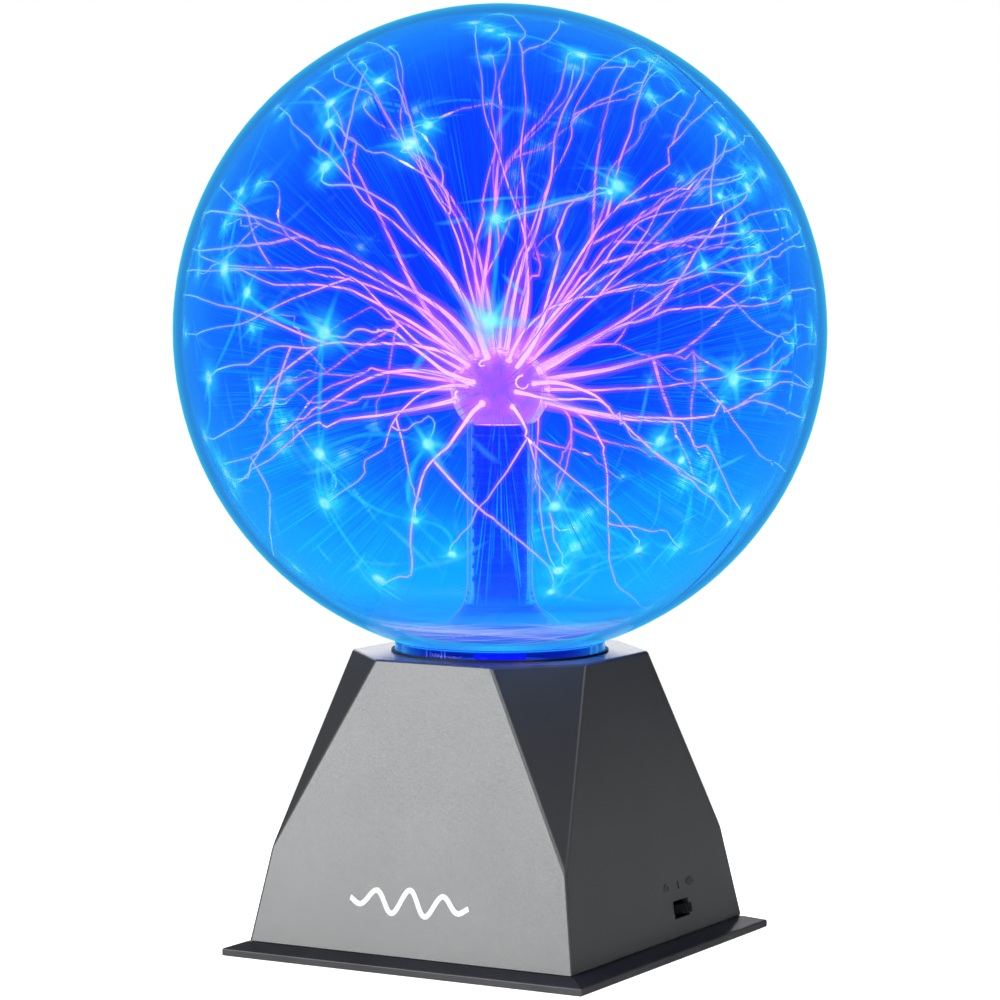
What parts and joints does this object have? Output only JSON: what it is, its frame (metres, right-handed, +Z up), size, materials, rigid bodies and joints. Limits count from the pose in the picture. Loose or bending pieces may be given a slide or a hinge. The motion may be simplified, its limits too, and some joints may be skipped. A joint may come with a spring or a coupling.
{
  "type": "plasma ball",
  "caption": "Gas-filled glass plasma globe on a faceted plastic base with a sliding mode switch, a power inlet and a high-voltage driver board inside.",
  "frame": {"origin": "on the table under the globe's middle, at the underside of the rubber feet", "axes": "+Z up, -Y is the front face, +X is the wall with the mode switch and +Y the wall with the power inlet"},
  "size_m": [0.2, 0.2, 0.29],
  "materials": {
    "globe_glass": "clear blown borosilicate glass filled with noble gas at low pressure",
    "stem_glass": "clear drawn glass tube fused into the neck",
    "bulb_coating": "thin spun metal liner that glows pink-violet in use",
    "sleeve_polymer": "translucent ribbed insulating sleeve, lit blue in use",
    "silicone": "translucent silicone",
    "black_rubber": "black moulded rubber, matt",
    "housing_plastic": "satin gunmetal ABS with a fine moulded grain and softened edges",
    "base_plastic": "dark satin ABS",
    "collar_plastic": "glass-filled nylon",
    "adhesive": "cured ivory silicone adhesive",
    "steel": "zinc-plated steel",
    "spring_steel": "bright drawn spring wire",
    "brass": "tinned brass",
    "aluminium": "extruded aluminium",
    "label_film": "blank silver polyester film",
    "board_laminate": "green solder mask on glass-epoxy laminate",
    "ferrite": "sintered dark grey ferrite",
    "bobbin_plastic": "black phenolic",
    "copper_winding": "enamelled copper wire under clear tape",
    "black_epoxy": "black moulded epoxy",
    "capacitor_sleeve": "dark blue shrink sleeve",
    "film_capacitor": "ochre potted box",
    "resistor_body": "tan lacquer",
    "plug_nylon": "natural nylon",
    "knob_plastic": "black acetal",
    "phenolic": "brown phenolic board",
    "red_insulation": "red PVC or silicone insulation",
    "orange_insulation": "orange PVC insulation"
  },
  "bodies": {
    "base": {"globe": "globe_glass", "stem_tube": "stem_glass", "fill_tip": "stem_glass", "electrode": "bulb_coating", "insulator_sleeve": "sleeve_polymer", "stem_bung": "silicone", "contact_spring": "spring_steel", "spring_seat": "brass", "high_voltage_lead": "red_insulation", "neck_gasket": "black_rubber", "neck_collar": "collar_plastic", "neck_adhesive": "adhesive", "collar_screws": "steel", "housing": "housing_plastic", "base_plate": "base_plastic", "base_screws": "steel", "rubber_feet": "black_rubber", "rating_label": "label_film", "circuit_board": "board_laminate", "board_screws": "steel", "transformer_core": "ferrite", "transformer_bobbin": "bobbin_plastic", "transformer_winding": "copper_winding", "heatsink": "aluminium", "power_transistor": "black_epoxy", "transistor_screw": "steel", "filter_capacitors": "capacitor_sleeve", "film_capacitors": "film_capacitor", "control_chips": "black_epoxy", "resistors": "resistor_body", "microphone": "aluminium", "wire_plugs": "plug_nylon", "switch_frame": "steel", "switch_base": "phenolic", "switch_terminals": "brass", "switch_screws": "steel", "switch_wires": "orange_insulation", "jack_body": "knob_plastic", "jack_pin": "brass", "jack_contact": "brass", "jack_nut": "steel", "jack_terminals": "brass", "jack_wires": "red_insulation"},
    "switch_slider": {"switch_knob": "knob_plastic", "switch_contact": "brass"}
  },
  "joints": [
    {"name": "mode_slide", "type": "slide", "parent": "base", "child": "switch_slider", "axis": [0, 1, 0], "range_m": [-0.002, 0.002]}
  ]
}
